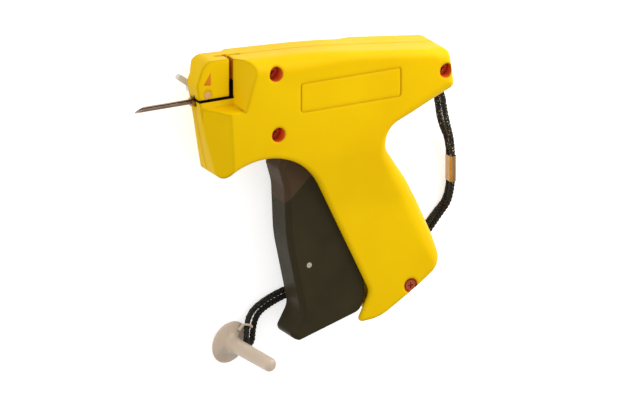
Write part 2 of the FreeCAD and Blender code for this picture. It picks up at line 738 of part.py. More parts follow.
def right_shell(outside, cavity):
    below = half_space("below_seam", False)
    nose_block = block("nose_block", s.nose_x - 10, s.slit_y + s.slit_height, sized(-1),
                       s.clip_x - s.nose_x + 10, s.top_front_y + 10, s.head_half + 12)
    half = common("right_half", [outside, fuse("right_side", [below, nose_block])])
    room = cut("right_room", common("right_cavity", [cavity, below]), shell_inner(-1))
    hollow = cut("right_hollow", half, room)
    holes = shell_holes("right_holes")
    outline_body(holes, knife_outline(), -(s.channel_half + s.knife_thick),
                 s.knife_thick + s.channel_half / 2)
    for x, y in HEAD_SCREWS:
        post(holes, x, y, s.screw_radius, -s.screw_depth, s.screw_depth + 1)
    post(holes, s.grip_screw_x, s.grip_screw_y, s.grip_screw_radius, -s.grip_screw_depth,
         s.grip_screw_depth + 1)
    return cut("right_shell", hollow, holes)


PIECES = []


def keep(piece):
    """Marks a finished sub-part and moves it to the frame the tool stands in."""
    for axis, shift in (("x", -s.origin_x), ("y", s.origin_y), ("z", s.head_half)):
        bind(piece, "Placement.Base." + axis, shift)
    PIECES.append(piece)
    return piece


def pin(label, x, y, radius, half):
    body = new_body(label)
    both_ways(body, x, y, radius, half)
    return keep(body)


def screw(label, x, y, radius, depth, floor, head_radius, head_height):
    body = new_body(label)
    post(body, x, y, radius, -depth, floor + depth)
    post(body, x, y, head_radius, floor, head_height)
    # a cross recess, as two slots at right angles
    for long, wide in ((s.recess_length, s.recess_width), (s.recess_width, s.recess_length)):
        mark = sketch_on(body, "XY_Plane", floor + head_height)
        add_outline(mark, rectangle(x - long / 2, y - wide / 2, long, wide))
        pocket(body, mark, s.recess_depth)
    return keep(body)


def along(angle, x, y, length, across):
    """The point a length along a direction from x, y, and a distance to its left."""
    return (x + cosine(angle) * length - sine(angle) * across,
            y + sine(angle) * length + cosine(angle) * across)


def bar(angle, x, y, start, end, half, round_off):
    """A rounded bar's outline along a direction."""
    return [along(angle, x, y, length, across) + (round_off,)
            for length, across in ((start, -half), (end, -half), (end, half), (start, half))]


def on_face(edge):
    """True for the edges on both sides of the trigger's face."""
    middle = edge.CenterOfMass
    ends = [vertex.Point for vertex in edge.Vertexes]
    level = abs(ends[0].z - ends[-1].z) < 1e-6
    low, high = s.trigger_toe_y.value, s.trigger_lip_y.value
    return level and low < middle.y < high and middle.x < s.trigger_hook_x.value + 1


def at_sole(edge):
    """True for the edge across the trigger where its face meets its sole."""
    middle = edge.CenterOfMass
    return (abs(middle.x - s.trigger_sole_x.value) < 0.01
            and abs(middle.y - s.trigger_sole_y.value) < 0.01)


def trigger():
    body = new_body("trigger")
    front = [
        (s.trigger_lip_x, s.trigger_lip_y, 3),
        (s.trigger_neck_x, s.trigger_neck_y, 20),
        (s.trigger_mid_x, s.trigger_mid_y, 60),
        (s.trigger_hook_x, s.trigger_hook_y, 8),
        (s.trigger_toe_x, s.trigger_toe_y, 2.3),
        (s.trigger_sole_x, s.trigger_sole_y),
    ]
    blank = outline_body(body, front + [
        (s.trigger_heel_x, s.trigger_heel_y, 5),
        (s.trigger_back_x, s.trigger_back_y, 3),
        (s.trigger_rise_x, s.trigger_rise_y, 12),
        (s.pivot_x + s.ear_back, s.pivot_y - s.ear_drop, 5),
        (s.pivot_x + s.ear_front, s.pivot_y + s.ear_rise, 3),
        (s.pivot_x - s.ear_front, s.pivot_y + s.ear_rise),
    ], -s.trigger_half, s.trigger_half * 2)
    # the bevels along both sides of the trigger's face, from its lip to its toe
    doc.recompute()
    chamfer = body.newObject("PartDesign::Chamfer", "Chamfer")
    chamfer.Base = (blank, ["Edge{}".format(number)
                            for number, edge in enumerate(blank.Shape.Edges, 1)
                            if on_face(edge)])
    bind(chamfer, "Size", s.trigger_bevel)
    doc.recompute()
    toe = body.newObject("PartDesign::Fillet", "ToeRound")
    toe.Base = (chamfer, ["Edge{}".format(number)
                          for number, edge in enumerate(chamfer.Shape.Edges, 1)
                          if at_sole(edge)])
    bind(toe, "Radius", s.trigger_toe_round)
    post(body, s.pivot_x, s.pivot_y, s.trigger_hub_radius, -s.trigger_half, s.trigger_half * 2)
    face = s.trigger_face
    channel(body, [
        (s.trigger_lip_x - 6, s.pivot_y + 12),
        (s.trigger_lip_x - 6, s.trigger_lip_y + 4.5),
        (s.trigger_lip_x + face + 0.4, s.trigger_lip_y + 4.5),
        (s.trigger_neck_x + face, s.trigger_neck_y),
        (s.trigger_mid_x + face, s.trigger_mid_y),
        (s.trigger_hook_x + face, s.trigger_hook_y),
        (s.trigger_sole_x + face * 2, s.trigger_sole_y + face * 2.5),
        (s.trigger_heel_x + 15, s.trigger_heel_y + face + 4.5),
        (s.trigger_heel_x + 15, s.pivot_y + 12),
    ], s.trigger_half - s.trigger_wall)
    for start in (-(s.trigger_half + s.trunnion_length), s.trigger_half - 1):
        post(body, s.pivot_x, s.pivot_y, s.trunnion_radius, start, s.trunnion_length + 1)
    through(body, s.link_x, s.link_y, s.link_radius)
    return keep(body)


def hook_place():
    """Where the return spring hooks into the drive lever's lug."""
    return along(s.lever_high_angle, s.fulcrum_x, s.fulcrum_y, s.hook_arm,
                 -s.lever_waist / 2 - s.hook_out)


def drive_lever():
    """The lever at rest: a short slotted arm down to the trigger, a long fork up to the slider."""
    body = new_body("drive_lever")
    x, y = s.fulcrum_x, s.fulcrum_y
    height, start = s.lever_half * 2, -s.lever_half
    post(body, x, y, s.lever_hub_radius, start, height)
    low, high = s.lever_low_angle, s.lever_high_angle
    shift = s.link_drift / 2
    low_half = s.link_radius + s.slot_play + shift
    slot_end = s.link_far + s.link_radius + s.slot_play
    low_end = slot_end + s.link_rim
    outline_body(body, [along(low, x, y, length, across - shift) + (round_off,)
                        for length, across, round_off in (
                            (sized(0), -s.lever_waist / 2, 0.5),
                            (low_end - s.tip_slant - 0.5, -(low_half + s.link_rim), 1),
                            (low_end, -(low_half - s.link_rim / 2), 1),
                            (low_end, low_half + s.link_rim, s.link_rim + 0.5),
                            (sized(0), s.lever_waist / 2, 0.5))], start, height)
    high_half = s.slider_pin_radius + s.slot_play + s.fork_drift
    outline_body(body, [along(high, x, y, length, across) + (round_off,)
                        for length, across, round_off in (
                            (sized(0), -s.lever_waist / 2, 0.5),
                            (s.lever_tip, -(high_half + s.lever_rim), 1),
                            (s.lever_tip, high_half + s.lever_rim, 1),
                            (sized(0), s.lever_waist / 2, 0.5))], start, height)
    # lug for the return spring's hook
    post(body, *hook_place(), s.lug_radius, start, height)
    slot_start = s.link_near - s.link_radius - s.slot_play
    channel(body, [along(low, x, y, length, across - shift) + (0.5,)
                   for length, across in ((slot_start, -low_half),
                                          (slot_end - s.tip_slant, -low_half),
                                          (slot_end, -low_half / 4),
                                          (slot_end, low_half),
                                          (slot_start, low_half))], s.lever_half)
    channel(body, [along(high, x, y, length, across)
                   for length, across in ((s.fork_start, -high_half),
                                          (s.lever_tip + 5, -high_half),
                                          (s.lever_tip + 5, high_half),
                                          (s.fork_start, high_half))], s.lever_half)
    through(body, x, y, s.fulcrum_radius + s.running_play)
    through(body, *hook_place(), s.lug_hole)
    return keep(body)


def slider():
    body = new_body("slider")
    x = s.slider_rest_x - s.slider_front
    length = s.slider_front + s.slider_back
    outline_body(body, [point + (1,) for point in rectangle(
        x, -s.slider_half_height, length, s.slider_half_height * 2)],
        -s.slider_half, s.slider_half * 2)
    gap = s.slider_gap_front + s.slider_gap_back
    channel(body, rectangle(s.slider_rest_x - s.slider_gap_front, -s.slider_half_height - 1, gap,
                            s.slider_half_height * 2 + 2), s.lever_half + s.side_gap)
    through(body, s.slider_rest_x, sized(0), s.slider_pin_radius)
    rod_hole = sketch_on(body, "YZ_Plane", x + s.rod_grip)
    add_circle(rod_hole, 0, 0, s.rod_radius)
    pocket(body, rod_hole, s.rod_grip + 1)
    return keep(body)


def ejector_rod():
    body = new_body("ejector_rod")
    sketch = sketch_on(body, "YZ_Plane", s.rod_tip_x)
    add_circle(sketch, 0, 0, s.rod_radius)
    pad(body, sketch, s.slider_rest_x - s.slider_front + s.rod_grip - s.rod_tip_x)
    return keep(body)


def rod_guide():
    body = new_body("rod_guide")
    outline_body(body, [point + (0.5,) for point in rectangle(
        s.guide_x, -s.guide_half, s.guide_length, s.guide_half * 2)],
        -s.guide_half, s.guide_half * 2)
    sketch = sketch_on(body, "YZ_Plane")
    add_circle(sketch, 0, 0, s.rod_radius + s.running_play)
    pocket(body, sketch, side="Symmetric")
    return keep(body)


def tube_along_x(name, x, radius, length):
    """A round bar along the needle's axis."""
    bar_object = doc.addObject("Part::Cylinder", name)
    bind(bar_object, "Radius", radius)
    bind(bar_object, "Height", length)
    bar_object.Placement.Rotation = FreeCAD.Rotation(Vector(0, 1, 0), 90)
    bind(bar_object, "Placement.Base.x", x)
    return bar_object


def needle():
    outer = fuse("needle_outer", [
        tube_along_x("needle_tube", sized(0), s.needle_radius, s.needle_end_x),
        tube_along_x("needle_shank", s.shank_x, s.shank_radius, s.needle_end_x - s.shank_x),
    ])
    inner = tube_along_x("needle_inner", sized(-1), s.needle_bore, s.needle_end_x + 2)
    groove = block("needle_groove", sized(-1), sized(0), sized(0), s.needle_end_x - 4,
                   s.needle_slot, s.needle_radius * 2)
    groove.Placement.Rotation = FreeCAD.Rotation(Vector(1, 0, 0), -45)
    bind(groove, "Placement.Base.y", -s.needle_slot / 2 * math.sqrt(0.5))
    bind(groove, "Placement.Base.z", s.needle_slot / 2 * math.sqrt(0.5))
    bevel = block("needle_bevel", -s.tip_flat, -s.needle_radius, -s.needle_radius * 2,
                  s.needle_bevel * 3, s.needle_radius * 4, s.needle_radius * 4)
    slope = math.degrees(math.atan2(s.needle_radius.value * 2, s.needle_bevel.value))
    bevel.Placement.Rotation = FreeCAD.Rotation(Vector(0, 0, 1), slope)
    return keep(cut("needle", outer, fuse("needle_cutters", [inner, groove, bevel])))


def needle_base():
    body = new_body("needle_base")
    outline_body(body, rectangle(s.base_x, -s.base_half_height, s.needle_end_x - s.base_x,
                                 s.base_half_height * 2), -s.base_half, s.base_half * 2)
    through(body, s.lock_x, s.lock_y, s.lock_radius + s.running_play)
    bore = sketch_on(body, "YZ_Plane")
    add_circle(bore, 0, 0, s.shank_radius)
    pocket(body, bore, side="Symmetric")
    filament = sketch_on(body, "XY_Plane", s.base_half)
    add_outline(filament, rectangle(s.base_x - 1, s.slit_y, s.needle_end_x - s.base_x + 2,
                                    s.slit_height))
    pocket(body, filament, s.base_half - 0.4)
    return keep(body)


def lock_lever():
    body = new_body("lock_lever")
    outer = s.nose_half + s.side_gap + s.lock_hub_height
    post(body, s.lock_x, s.lock_y, s.lock_radius, -outer, outer + s.nose_half)
    post(body, s.lock_x, s.lock_y, s.lock_hub_radius, -outer, s.lock_hub_height)
    outline_body(body, bar(s.lock_angle, s.lock_x, s.lock_y, sized(0),
                           s.lock_arm_length + s.lock_arm_width / 2, s.lock_arm_width / 2,
                           s.lock_arm_width * 0.4), -outer, s.lock_hub_height)
    channel(body, rectangle(s.lock_x + s.lock_flat, s.lock_y - s.lock_radius - 1,
                            s.lock_radius, s.lock_radius * 2 + 2), s.base_half + s.side_gap)
    return keep(body)


def feed_wheel():
    body = new_body("feed_wheel")
    teeth = int(s.wheel_teeth.value)
    points = []
    for tooth in range(teeth):
        for share, radius in ((0, s.wheel_radius), (0.5, s.wheel_root)):
            angle = sized(360) * (tooth + share) / s.wheel_teeth
            points.append(along(angle, s.wheel_x, s.wheel_y, radius, sized(0)))
    outline_body(body, points, -s.wheel_half, s.wheel_half * 2)
    through(body, s.wheel_x, s.wheel_y, s.axle_radius + s.running_play)
    return keep(body)


def feed_pawl():
    """The pawl, its nose just clear of the wheel's teeth."""
    body = new_body("feed_pawl")
    dx, dy = s.wheel_x.value - s.pawl_x.value, s.wheel_y.value - s.pawl_y.value
    nose = math.hypot(dx, dy) - s.wheel_radius.value - s.side_gap.value
    angle = sized(math.degrees(math.atan2(dy, dx)))
    post(body, s.pawl_x, s.pawl_y, s.pawl_radius, -s.pawl_half, s.pawl_half * 2)
    outline_body(body, [along(angle, s.pawl_x, s.pawl_y, sized(length), sized(across))
                        for length, across in ((0, -1.8), (nose - 0.1, -0.6), (nose - 0.1, 0.2),
                                               (nose - 3, 1.1), (0, 1.8))],
                 -s.pawl_half, s.pawl_half * 2)
    through(body, s.pawl_x, s.pawl_y, s.axle_radius + s.running_play)
    return keep(body)


def plate(label, points, start, length):
    body = new_body(label)
    outline_body(body, points, start, length)
    return keep(body)


def return_spring():
    """Tension spring from the lever's lug to its anchor pin, drawn at rest."""
    hook_x, hook_y = hook_place()
    span_x, span_y = ANCHOR_X - hook_x, s.anchor_y - hook_y
    length = root(span_x * span_x + span_y * span_y) - s.spring_lead * 2
    way = Vector(span_x.value, span_y.value, 0)
    line = doc.addObject("Part::Helix", "spring_line")
    wire = doc.addObject("Part::Circle", "spring_section")
    middle = s.spring_radius - s.spring_wire
    bind(line, "Pitch", s.spring_pitch)
    bind(line, "Radius", middle)
    bind(line, "Height", length)
    bind(wire, "Radius", s.spring_wire)
    wire.Placement.Rotation = FreeCAD.Rotation(Vector(1, 0, 0), 90)
    bind(wire, "Placement.Base.x", middle)
    spring = doc.addObject("Part::Sweep", "return_spring")
    spring.Sections = [wire]
    spring.Spine = (line, ["Edge1"])
    spring.Solid = True
    spring.Frenet = True
    spring.Placement.Rotation = FreeCAD.Rotation(Vector(0, 0, 1), way)
    lead = s.spring_lead.value
    unit = way / way.Length
    keep(spring)
    bind(spring, "Placement.Base.x", hook_x + unit.x * lead - s.origin_x)
    bind(spring, "Placement.Base.y", hook_y + unit.y * lead + s.origin_y)
    return spring


# The cord in the standing tool's gun coordinates, with z up from the surface it lies on: out of
# the housing, through the ferrule, under the grip to the cap, round its loop and back.
CORD_OUT = (
    (148.7, -9.4, 15.3), (151.9, -15.5, 15.0), (154.0, -22.7, 12.8), (157.6, -32.0, 9.2),
    (162.76, -44.0, 4.75), (162.76, -68.5, 4.75), (157.3, -77.7, 1.7), (147.9, -89.5, 1.4),
    (126.3, -96.1, 1.4), (101.1, -98.7, 1.4), (84.0, -101.3, 1.4), (72.6, -104.9, 1.4),
    (65.9, -109.0, 1.5), (63.6, -115.4, 2.6), (62.6, -120.6, 3.9),
)
CORD_BACK = (
    (58.2, -120.9, 6.9), (57.9, -115.4, 7.2), (61.6, -107.6, 2.2), (70.8, -102.3, 1.4),
    (83.1, -98.5, 1.4), (100.8, -95.9, 1.4), (125.6, -93.3, 1.4), (146.1, -87.0, 1.4),
    (154.8, -76.4, 1.6), (162.76, -68.5, 1.95), (162.76, -44.0, 1.95), (156.6, -32.8, 4.9),
    (152.8, -23.4, 9.4), (150.3, -15.6, 12.4), (146.5, -9.4, 12.6),
)
CORD = [Vector(*point) for point in CORD_OUT + CORD_BACK]
FERRULE_MIDDLE = (162.76, -55.1, 3.35)


def route(points, share):
    """Straight runs joined by tangent arcs, each taking a share of its shorter run."""
    edges = []
    start = points[0]
    for before, here, after in zip(points, points[1:], points[2:]):
        back, ahead = before - here, after - here
        reach = share * min(back.Length, ahead.Length)
        half = back.getAngle(ahead) / 2
        radius = reach * math.tan(half)
        back.normalize()
        ahead.normalize()
        centre = here + (back + ahead).normalize() * (radius / math.sin(half))
        middle = centre + (here - centre).normalize() * radius
        first, last = here + back * reach, here + ahead * reach
        edges.append(Part.LineSegment(start, first).toShape())
        edges.append(Part.Arc(first, middle, last).toShape())
        print("cord corner", [round(v, 1) for v in here], "radius", round(radius, 2))
        start = last
    edges.append(Part.LineSegment(start, points[-1]).toShape())
    return Part.Wire(edges)


def lanyard_cord():
    wire = route(CORD, s.cord_bend_share.value)
    ahead = (CORD[1] - CORD[0]).normalize()
    circle = Part.Circle(CORD[0], ahead, s.cord_radius.value)
    tube = wire.makePipeShell([Part.Wire([circle.toShape()])], True, False)
    print("cord length", round(wire.Length, 1), "volume", round(tube.Volume, 1), "expected",
          round(wire.Length * math.pi * s.cord_radius.value ** 2, 1))
    cord = doc.addObject("Part::Feature", "lanyard_cord")
    cord.Shape = tube
    for axis, shift in (("x", -s.origin_x), ("y", s.origin_y)):
        bind(cord, "Placement.Base." + axis, shift)
    PIECES.append(cord)
    return cord


def ferrule():
    """The crimped tube that holds the cord's two strands, one above the other."""
    body = new_body("ferrule")
    sketch = sketch_on(body, "XZ_Plane", -s.ferrule_length / 2)
    for wall in (s.ferrule_wall, sized(0)):
        across = (s.cord_radius + s.ferrule_play + wall) * 2
        high = (s.strand_gap / 2 + s.cord_radius + s.ferrule_play + wall) * 2
        corner = across * 0.45
        add_outline(sketch, [point + (corner,) for point in rectangle(
            -across / 2, -high / 2, across, high)])
    pad(body, sketch, s.ferrule_length)
    keep(body)
    for axis, place, shift in zip("xyz", FERRULE_MIDDLE, (-s.origin_x, s.origin_y, sized(0))):
        bind(body, "Placement.Base." + axis, sized(place) + shift)
    return body


def needle_cap():
    """The soft cap of the needle, left on the cord: a disc, a stem with a bore, and an eyelet."""
    body = new_body("cap_form")
    sketch = sketch_on(body, "XZ_Plane")
    half = s.cap_disc_thick / 2
    add_outline(sketch, [
        (s.cap_bore, -half),
        (s.cap_disc_radius - 0.8, -half + 0.2, 0.3),
        (s.cap_disc_radius, half * 0.2, 0.3),
        (s.cap_disc_radius - 0.8, half * 0.7, 0.3),
        (s.cap_stem_radius + 0.2, half + 0.8, 2.5),
        (s.cap_stem_radius, s.cap_stem_length, s.cap_tip_round),
        (sized(0), s.cap_stem_length),
        (sized(0), s.cap_bore_depth - half),
        (s.cap_bore, s.cap_bore_depth - half),
    ])
    turn = body.newObject("PartDesign::Revolution", "Revolution")
    turn.Profile = sketch
    turn.ReferenceAxis = (sketch, ["V_Axis"])
    turn.Angle = 360
    lean = FreeCAD.Rotation(Vector(0, 0, 1), Vector(6.3, -3.3, 29.1))
    body.Placement.Rotation = lean
    for axis, place in (("x", s.cap_x), ("y", s.cap_y), ("z", s.cap_z)):
        bind(body, "Placement.Base." + axis, place)
    ring = doc.addObject("Part::Torus", "cap_eyelet")
    bind(ring, "Radius1", s.cord_radius + s.side_gap + s.eyelet_wire)
    bind(ring, "Radius2", s.eyelet_wire)
    run = CORD_BACK[2], CORD_BACK[1]
    first, last = [Vector(*point) for point in run]
    ring.Placement.Rotation = FreeCAD.Rotation(Vector(0, 0, 1), last - first)
    middle = last + (first - last).normalize() * s.eyelet_along.value
    lug = doc.addObject("Part::Cylinder", "cap_lug")
    bind(lug, "Radius", s.cap_lug_radius)
    bind(lug, "Height", s.lug_length)
    ring_side = ring.Placement.Rotation.multVec(Vector(0, 0, 1)).cross(Vector(0, 0, 1)).normalize()
    if ring_side.x > 0:
        ring_side = -ring_side
    lug_start = middle + ring_side * (s.cord_radius + s.side_gap + s.eyelet_wire).value
    lug_end = Vector(s.cap_x.value, s.cap_y.value, s.cap_z.value)
    lug.Placement.Rotation = FreeCAD.Rotation(Vector(0, 0, 1), lug_end - lug_start)
    for target, place in ((ring, middle), (lug, lug_start)):
        target.Placement.Base = place
    cap = fuse("needle_cap", [body, ring, lug])
    keep(cap)
    bind(cap, "Placement.Base.z", 0)
    return cap


outside, side = housing_outside()
doc.recompute()
cavity = housing_inside(side)
keep(left_shell(outside, cavity))
doc.recompute()
keep(right_shell(outside, cavity))
doc.recompute()
for number, (x, y) in enumerate(HEAD_SCREWS, 1):
    screw("head_screw_{}".format(number), x, y, s.screw_radius, s.screw_depth, s.well_floor,
          s.screw_head_radius, s.screw_head_height)
screw("grip_screw", s.grip_screw_x, s.grip_screw_y, s.grip_screw_radius, s.grip_screw_depth,
      s.grip_well_floor, s.grip_head_radius, s.grip_head_height)
trigger()
pin("link_pin", s.link_x, s.link_y, s.link_radius, s.trigger_half)
drive_lever()
pin("fulcrum_pin", s.fulcrum_x, s.fulcrum_y, s.fulcrum_radius,
    s.lever_half + s.side_gap + s.post_width)
slider()
pin("slider_pin", s.slider_rest_x, sized(0), s.slider_pin_radius, s.slider_half)
ejector_rod()
rod_guide()
needle()
needle_base()
lock_lever()
feed_wheel()
pin("wheel_axle", s.wheel_x, s.wheel_y, s.axle_radius, s.axle_half)
feed_pawl()
pin("pawl_pin", s.pawl_x, s.pawl_y, s.axle_radius, s.axle_half)
plate("detent_leaf", detent_outline(), -s.detent_half, s.detent_half * 2)
plate("knife", knife_outline(), -(s.channel_half + s.knife_thick), s.knife_thick)
return_spring()
pin("spring_anchor", ANCHOR_X, s.anchor_y, s.anchor_radius, s.anchor_half)
pin("lanyard_pin", s.lanyard_pin_x, s.lanyard_pin_y, s.anchor_radius, s.lanyard_pin_half)
lanyard_cord()
ferrule()
needle_cap()
doc.recompute()

for thing in doc.Objects:
    if "Invalid" in thing.State or "Error" in thing.State:
        print("not built:", thing.Name, thing.State)
os.makedirs("parts", exist_ok=True)
for piece in PIECES:
    shape = piece.Shape
    good = not shape.isNull() and shape.isValid()
    print(piece.Label, "valid" if good else "NOT VALID", len(shape.Solids), round(shape.Volume))
    if good:
        shape.exportStep("parts/{}.step".format(piece.Label))
whole = Part.makeCompound([p.Shape for p in PIECES if not p.Shape.isNull()
                           and p.Label not in ("lanyard_cord", "ferrule", "needle_cap")])
box = whole.BoundBox
print("box", [round(v, 2) for v in (box.XMin, box.XMax, box.YMin, box.YMax, box.ZMin, box.ZMax)])
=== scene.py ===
import math
import bmesh
import bpy
from mathutils import Matrix, Vector


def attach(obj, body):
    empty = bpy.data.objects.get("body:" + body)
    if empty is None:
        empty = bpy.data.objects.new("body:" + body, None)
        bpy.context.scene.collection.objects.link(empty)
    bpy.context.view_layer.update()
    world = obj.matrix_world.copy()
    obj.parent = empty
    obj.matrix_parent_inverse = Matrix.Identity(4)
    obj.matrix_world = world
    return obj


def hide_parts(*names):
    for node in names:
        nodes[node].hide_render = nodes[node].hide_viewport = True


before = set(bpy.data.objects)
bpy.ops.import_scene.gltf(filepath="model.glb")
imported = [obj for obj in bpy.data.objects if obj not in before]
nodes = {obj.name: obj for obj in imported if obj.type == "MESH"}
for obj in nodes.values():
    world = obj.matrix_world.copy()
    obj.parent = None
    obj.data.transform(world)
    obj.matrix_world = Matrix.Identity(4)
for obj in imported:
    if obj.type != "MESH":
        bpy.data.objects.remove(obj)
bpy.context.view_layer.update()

MM = 0.001
# where the frame's origin lies, measured from the needle's tip
ORIGIN = Vector((76.1, -48.65, 0)) * MM
SEAM_HEIGHT = 14               # of the seam and the needle's axis above the surface, in mm


def spot(x, y, z):
    """A place in millimetres from the needle's tip, with z up from the surface below."""
    return Vector((x, y, z)) * MM - ORIGIN


ORIGIN_SPOT = spot(76.1, -48.65, SEAM_HEIGHT)      # the tool's middle at its seam

# ---------------------------------------------------------------- camera
SCALE = 0.44 * MM              # size of one pixel at the tool
FRAME_WIDE, FRAME_HIGH = 640, 400
TIP_PIXEL = (137, 112)
DISTANCE = 5.0                 # far enough off for an almost parallel view
SENSOR = 36.0
CLIP_NEAR, CLIP_FAR = 0.1, 20.0
CAM_RIGHT = Vector((0.8829, 0.0, 0.4695))
CAM_UP = Vector((0.1528, 0.9455, -0.2875))
CAM_BACK = CAM_RIGHT.cross(CAM_UP).normalized()


def make_camera():
    """A long lens that looks at the tool from its left, a little in front and above."""
    tip = spot(0, 0, SEAM_HEIGHT)
    right = (FRAME_WIDE / 2 - TIP_PIXEL[0]) * SCALE
    down = (FRAME_HIGH / 2 - TIP_PIXEL[1]) * SCALE
    depth = (ORIGIN_SPOT - tip).dot(CAM_BACK)
    aim = tip + CAM_RIGHT * right - CAM_UP * down + CAM_BACK * depth
    data = bpy.data.cameras.new("camera")
    data.sensor_width = SENSOR
    data.lens = SENSOR * DISTANCE / (FRAME_WIDE * SCALE)
    data.clip_start = CLIP_NEAR
    data.clip_end = CLIP_FAR
    camera = bpy.data.objects.new("camera", data)
    camera.matrix_world = Matrix((
        (CAM_RIGHT.x, CAM_UP.x, CAM_BACK.x, 0),
        (CAM_RIGHT.y, CAM_UP.y, CAM_BACK.y, 0),
        (CAM_RIGHT.z, CAM_UP.z, CAM_BACK.z, 0),
        (0, 0, 0, 1),
    ))
    camera.location = aim + CAM_BACK * DISTANCE
    bpy.context.scene.collection.objects.link(camera)
    bpy.context.scene.camera = camera


make_camera()

# ---------------------------------------------------------------- materials


def linear(code):
    """An sRGB hex colour as linear RGBA."""
    parts = [int(code[i:i + 2], 16) / 255 for i in (0, 2, 4)]
    return [c / 12.92 if c <= 0.04045 else ((c + 0.055) / 1.055) ** 2.4 for c in parts] + [1.0]


def add_node(tree, kind, settings=None, stops=(), **links):
    """Adds a shader node with its settings, ramp stops and links; a node gives its first output."""
    new = tree.nodes.new(kind)
    for name, value in (settings or {}).items():
        if isinstance(name, int) or name in new.inputs:
            new.inputs[name].default_value = value
        else:
            setattr(new, name, value)
    for row, (where, code) in enumerate(stops):
        bar = new.color_ramp.elements
        element = bar[row] if row < len(bar) else bar.new(1.0)
        element.position = where
        element.color = linear(code)
    for name, source in links.items():
        key = int(name[1:]) if name[1:].isdigit() else name.replace("_", " ")
        output = source.outputs[0] if isinstance(source, bpy.types.Node) else source
        tree.links.new(new.inputs[key], output)
    return new


def new_material(name):
    """An empty node material, its node tree and the coordinates that ride with the piece."""
    material = bpy.data.materials.new(name)
    material.use_nodes = True
    tree = material.node_tree
    tree.nodes.clear()
    place = add_node(tree, "ShaderNodeTexCoord").outputs["Object"]
    return material, tree, place


def inside(tree, place, low, high):
    """A mask: 1 in the box between two corners, 0 outside it."""
    axes = add_node(tree, "ShaderNodeSeparateXYZ", n0=place)
    mask = None
    for axis, (start, end) in enumerate(zip(low, high)):
        within = add_node(tree, "ShaderNodeMath",
                          {"operation": "COMPARE", 1: (start + end) / 2, 2: (end - start) / 2},
                          n0=axes.outputs[axis])
        mask = within if mask is None else add_node(
            tree, "ShaderNodeMath", {"operation": "MULTIPLY"}, n0=mask, n1=within)
    return mask


NOISE_LOW, NOISE_HIGH = 0.3, 0.7       # most of a noise's values lie between these
PATCHES_PER_CLOUD = 5                  # the gloss changes faster than the colour
EDGE_SAMPLES = 6
# the grain that spark erosion leaves in a mould, drawn coarse enough to show
SPARK_GRAIN = 0.35
GRAIN_DEPTH = 0.02 * MM
# drawing and grinding lines are far finer: these are drawn coarse enough to show
METAL_LINE = 0.6


def moulded(name, low, high, cloud_mm, gloss, soft_mm, grain=0.12, tints=(), **constants):
    """A moulded plastic: faint clouds in its colour, uneven gloss, fine grain, soft edges."""
    material, tree, place = new_material(name)
    cloud = add_node(tree, "ShaderNodeTexNoise", {"Scale": 1 / (cloud_mm * MM), "Detail": 3.0},
                     Vector=place)
    colour = add_node(tree, "ShaderNodeValToRGB",
                      stops=((NOISE_LOW, low), (NOISE_HIGH, high)), Fac=cloud)
    for mask_of, code in tints:
        colour = add_node(tree, "ShaderNodeMix", {"data_type": "RGBA", 7: linear(code)},
                          n0=mask_of(tree, place), n6=colour).outputs[2]
    patch = add_node(tree, "ShaderNodeTexNoise",
                     {"Scale": PATCHES_PER_CLOUD / (cloud_mm * MM), "Detail": 4.0},
                     Vector=place)
    rough = add_node(tree, "ShaderNodeMapRange",
                     {"From Min": NOISE_LOW, "From Max": NOISE_HIGH,
                      "To Min": gloss[0], "To Max": gloss[1]}, Value=patch)
    edges = add_node(tree, "ShaderNodeBevel",
                     {"samples": EDGE_SAMPLES, "Radius": soft_mm * MM})
    spark = add_node(tree, "ShaderNodeTexNoise", {"Scale": 1 / (SPARK_GRAIN * MM)},
                     Vector=place)
    bump = add_node(tree, "ShaderNodeBump", {"Strength": grain, "Distance": GRAIN_DEPTH},
                    Height=spark, Normal=edges)
    shader = add_node(tree, "ShaderNodeBsdfPrincipled", constants, Base_Color=colour,
                      Roughness=rough, Normal=bump)
    add_node(tree, "ShaderNodeOutputMaterial", Surface=shader)
    return material


def metal(name, low, high, gloss, stretch=(1, 1, 1)):
    """Bare or plated metal with drawn or ground lines along the axis that stretch makes small."""
    material, tree, place = new_material(name)
    lines = add_node(tree, "ShaderNodeMapping", {"Scale": stretch}, Vector=place)
    streak = add_node(tree, "ShaderNodeTexNoise", {"Scale": 1 / (METAL_LINE * MM), "Detail": 3.0},
                      Vector=lines)
    colour = add_node(tree, "ShaderNodeValToRGB",
                      stops=((NOISE_LOW, low), (NOISE_HIGH, high)), Fac=streak)
    rough = add_node(tree, "ShaderNodeMapRange",
                     {"From Min": NOISE_LOW, "From Max": NOISE_HIGH,
                      "To Min": gloss[0], "To Max": gloss[1]}, Value=streak)
    shader = add_node(tree, "ShaderNodeBsdfPrincipled", {"Metallic": 1.0}, Base_Color=colour,
                      Roughness=rough)
    add_node(tree, "ShaderNodeOutputMaterial", Surface=shader)
    return material


# the four screw wells in the left side
WELL_CENTRES = (spot(62.2, 11.1, 0), spot(63.3, -16.9, 0), spot(146.9, -0.2, 0),
                spot(131.0, -98.8, 0))
WELL_RADIUS = 3.36 * MM                # just outside the wells' walls
WELL_BOTTOM = 20.0 * MM                # the walls are seen above this height


